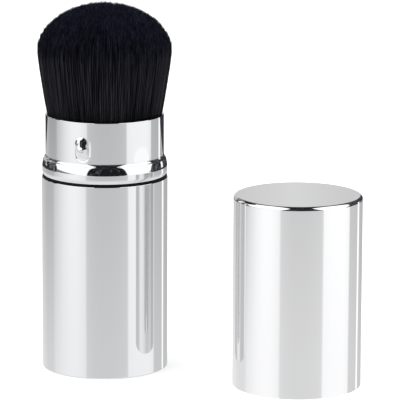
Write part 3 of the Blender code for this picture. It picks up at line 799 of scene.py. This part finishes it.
BESIDE_LIGHT = 0.22           # share of their light that the dark beside and above them has
DIM_LIGHT = 0.07              # and the dark beside and above the wall
GLEAM_TURN = math.radians(133.5)  # the narrow lamp
GLEAM_HALF_WIDTH = math.radians(4.5)
GLEAM_CORE = 0.7              # share of its half width that is fully bright
GLEAM_RISE = (-0.16, 0.13)
SKIRT_LEFT = 0.25             # how far to the left the tent has a low dark skirt
SKIRT_LIGHT = 0.25
SKIRT_RISE = (-0.05, 0.035)
HORIZON = (-0.03, 0.02)       # heights, as sines, between which the upper light fades in
HORIZON_FALL = 0.13           # how much lower that is behind the brush
DARK_TINT = (0.92, 0.96, 1.10)
LIGHT_TINT = (0.998, 1.0, 1.006)
TINT_GAIN = 3.0               # the tint is the light one from a third of full light up


def light_studio():
    """Paint the surroundings by direction, and leave plain white where the camera sees them."""
    world = bpy.data.worlds.new("studio")
    bpy.context.scene.world = world
    world.use_nodes = True
    tree = world.node_tree

    def reckon(operation, first, second=0.0):
        return add_node(tree, "ShaderNodeMath", {0: first, 1: second}, operation=operation).outputs[0]

    def rises(value, start, end):
        step = add_node(tree, "ShaderNodeMapRange",
                        {"Value": value, "From Min": start, "From Max": end},
                        interpolation_type="SMOOTHSTEP")
        return step.outputs["Result"]

    def past(value, start):
        return rises(value, start, start + SOFTNESS)

    def between(value, start, end):
        return reckon("MULTIPLY", past(value, start), rises(value, end, end - SOFTNESS))

    def layered(factor, under, over):
        return reckon("ADD", under, reckon("MULTIPLY", factor, reckon("SUBTRACT", over, under)))

    def way_round(degrees):
        return degrees / 360 + 0.5

    direction = add_node(tree, "ShaderNodeTexCoord")
    axes = add_node(tree, "ShaderNodeSeparateXYZ", {0: direction.outputs["Generated"]})
    right = axes.outputs["X"]
    left = reckon("MULTIPLY", right, -1.0)
    back = axes.outputs["Y"]
    ahead = reckon("MULTIPLY", back, -1.0)
    up = axes.outputs["Z"]
    azimuth = reckon("ARCTAN2", right, ahead)

    # The lit table, which is all that shows below the horizon.
    round_share = reckon("ADD", reckon("DIVIDE", azimuth, math.tau), 0.5)
    ramp = add_node(tree, "ShaderNodeValToRGB", {"Fac": round_share})
    stops = ramp.color_ramp.elements
    stops.remove(stops[1])
    made = [stops[0]] + [stops.new(way_round(angle)) for angle, _ in GREYS[1:]]
    for stop, (_, grey) in zip(made, GREYS):
        stop.color = (grey, grey, grey, 1.0)
    glare = add_node(tree, "ShaderNodeMapRange",
                     {"Value": up, "From Min": GLARE_START, "From Max": GLARE_START + GLARE_RISE})
    to_left = rises(round_share, way_round(LEFT_FALL[0]), way_round(LEFT_FALL[1]))
    change = reckon("SUBTRACT", reckon("SUBTRACT", ramp.outputs["Color"], GLARE_MIDDLE),
                    reckon("MULTIPLY", to_left, LEFT_DULL))
    far = reckon("ADD", ramp.outputs["Color"],
                 reckon("MULTIPLY", glare.outputs["Result"], change))
    low = layered(rises(up, *NEAR_TABLE), far, NEAR_TABLE_LIGHT)

    # The tents, and the dark gap between them.
    clutter = add_node(tree, "ShaderNodeTexNoise",
                       {"Vector": direction.outputs["Generated"], "Scale": SPOT_SCALE,
                        "Detail": 3.0})
    spots = rises(clutter.outputs["Fac"], *SPOT_RANGE)
    dark = reckon("ADD", DARK_LIGHT, reckon("MULTIPLY", spots, DARK_SPOTS))
    over = reckon("ARCTAN2", up, ahead)
    side = reckon("ARCSINE", right)

    def gap_edge(start, narrowing, least):
        narrowed = reckon("SUBTRACT", start, reckon("MULTIPLY", over, narrowing))
        return reckon("MAXIMUM", narrowed, least)

    in_right = past(reckon("SUBTRACT", gap_edge(*GAP_RIGHT), side), 0.0)
    in_left = past(reckon("ADD", gap_edge(*GAP_LEFT), side), 0.0)
    tents = layered(reckon("MULTIPLY", in_right, in_left), TENT_LIGHT, dark)
    behind = past(reckon("SUBTRACT", reckon("SUBTRACT", back, TENT_BACK),
                         reckon("MULTIPLY", up, TENT_SLANT)), 0.0)

    # The wall, the spotted things and the narrow lamp.
    off_middle = reckon("ABSOLUTE", reckon("SUBTRACT", right, WALL_MIDDLE))
    dulled = reckon("SUBTRACT", WALL_LIGHT, reckon("MULTIPLY", off_middle, WALL_DULL))
    paint = reckon("MAXIMUM", dulled, WALL_LEAST)
    off_wall = reckon("MAXIMUM", past(right, WALL_RIGHT), past(up, WALL_TOP))
    things = reckon("MULTIPLY", rises(clutter.outputs["Fac"], *THINGS_RANGE), THINGS_LIGHT)
    off_things = reckon("MAXIMUM", past(left, THINGS_LEFT), past(up, THINGS_TOP))
    beside = reckon("ADD", dark, reckon("MULTIPLY", things, BESIDE_LIGHT))
    dim = reckon("ADD", dark, reckon("MULTIPLY", things, DIM_LIGHT))
    wall = layered(rises(left, *THINGS_START), layered(off_wall, paint, dim),
                   layered(off_things, things, beside))
    off_lamp = reckon("ABSOLUTE", reckon("SUBTRACT", azimuth, GLEAM_TURN))
    gleam = reckon("MULTIPLY", rises(off_lamp, GLEAM_HALF_WIDTH, GLEAM_HALF_WIDTH * GLEAM_CORE),
                   between(up, *GLEAM_RISE))

    # All of it together, and the dark skirt of the left tent.
    high = layered(behind, tents, layered(gleam, wall, TENT_LIGHT))
    over_horizon = rises(reckon("ADD", up, reckon("MULTIPLY", behind, HORIZON_FALL)), *HORIZON)
    skirt = reckon("MULTIPLY", between(up, *SKIRT_RISE), past(left, SKIRT_LEFT))
    on_tent = reckon("MULTIPLY", skirt, reckon("SUBTRACT", 1.0, behind))
    studio = layered(on_tent, layered(over_horizon, low, high), SKIRT_LIGHT)

    # A cool tint in the dark, and plain white for the camera.
    tint = mixed(tree, reckon("MULTIPLY", studio, TINT_GAIN), (*DARK_TINT, 1.0), (*LIGHT_TINT, 1.0))
    tinted = mixed(tree, 1.0, tint, studio, blend="MULTIPLY")
    path = add_node(tree, "ShaderNodeLightPath")
    seen = mixed(tree, path.outputs["Is Camera Ray"], tinted, (1.0, 1.0, 1.0, 1.0))
    tree.links.new(seen, tree.nodes["Background"].inputs["Color"])


light_studio()


# Softbox: a wide lamp high over the brush, which lights the hair and the table. The metal
# doesn't mirror it.

LAMP_HEIGHT = 1.3
LAMP_SIZE = 1.4
LAMP_POWER = 9.0
lamp = bpy.data.lights.new("overhead softbox", "AREA")
lamp.size = LAMP_SIZE
lamp.energy = LAMP_POWER
softbox = bpy.data.objects.new("overhead_softbox", lamp)
softbox.location = (0.0, 0.0, LAMP_HEIGHT)
softbox.visible_glossy = False
bpy.context.scene.collection.objects.link(softbox)


# Dark strip: black cloth that lies on the table behind the brush, where only the metal
# mirrors it. It gives the neck its dark outline.

STRIP_FRONT = 0.275
STRIP_DEPTH = 0.19
STRIP_HALF_WIDTH = 1.6
STRIP_HEIGHT = 1 * MM
STRIP_TURN = math.radians(-3)
STRIP_COLOUR = (0.034, 0.037, 0.046)
strip_mesh = bmesh.new()
bmesh.ops.create_grid(strip_mesh, x_segments=1, y_segments=1, size=1.0)
bmesh.ops.scale(strip_mesh, vec=(STRIP_HALF_WIDTH, STRIP_DEPTH / 2, 1.0), verts=strip_mesh.verts)
bmesh.ops.translate(strip_mesh, vec=(0.0, STRIP_FRONT + STRIP_DEPTH / 2, STRIP_HEIGHT),
                    verts=strip_mesh.verts)
bmesh.ops.rotate(strip_mesh, cent=(0.0, STRIP_FRONT, 0.0),
                 matrix=Matrix.Rotation(STRIP_TURN, 3, "Z"), verts=strip_mesh.verts)
cloth = bpy.data.materials.new("black cloth")
cloth.use_nodes = True
cloth_shader = cloth.node_tree.nodes["Principled BSDF"]
cloth_shader.inputs["Base Color"].default_value = (*STRIP_COLOUR, 1.0)
cloth_shader.inputs["Roughness"].default_value = 1.0
cloth_shader.inputs["Specular IOR Level"].default_value = MATT_SPECULAR
strip = finished("dark_strip", strip_mesh, cloth)
strip.visible_camera = False
strip.visible_diffuse = False
strip.visible_shadow = False


# Camera: a long lens a little above the table, as in the photograph.

LENS = 309.6
CAMERA_PLACE = Vector((31.65, -884.5, 229.4)) * MM
CAMERA_DOWN = 0.206
CAMERA_TURN = 0.0075
CAMERA_ROLL = 0.0043
CLIP_START = 0.01
camera_data = bpy.data.cameras.new("camera")
camera_data.lens = LENS
camera_data.clip_start = CLIP_START
camera = bpy.data.objects.new("camera", camera_data)
aim = (Matrix.Rotation(CAMERA_TURN, 4, "Z") @ Matrix.Rotation(math.pi / 2 - CAMERA_DOWN, 4, "X") @
       Matrix.Rotation(CAMERA_ROLL, 4, "Z"))
camera.matrix_world = Matrix.Translation(CAMERA_PLACE) @ aim
bpy.context.scene.collection.objects.link(camera)
bpy.context.scene.camera = camera
bpy.context.scene.view_settings.view_transform = "Standard"
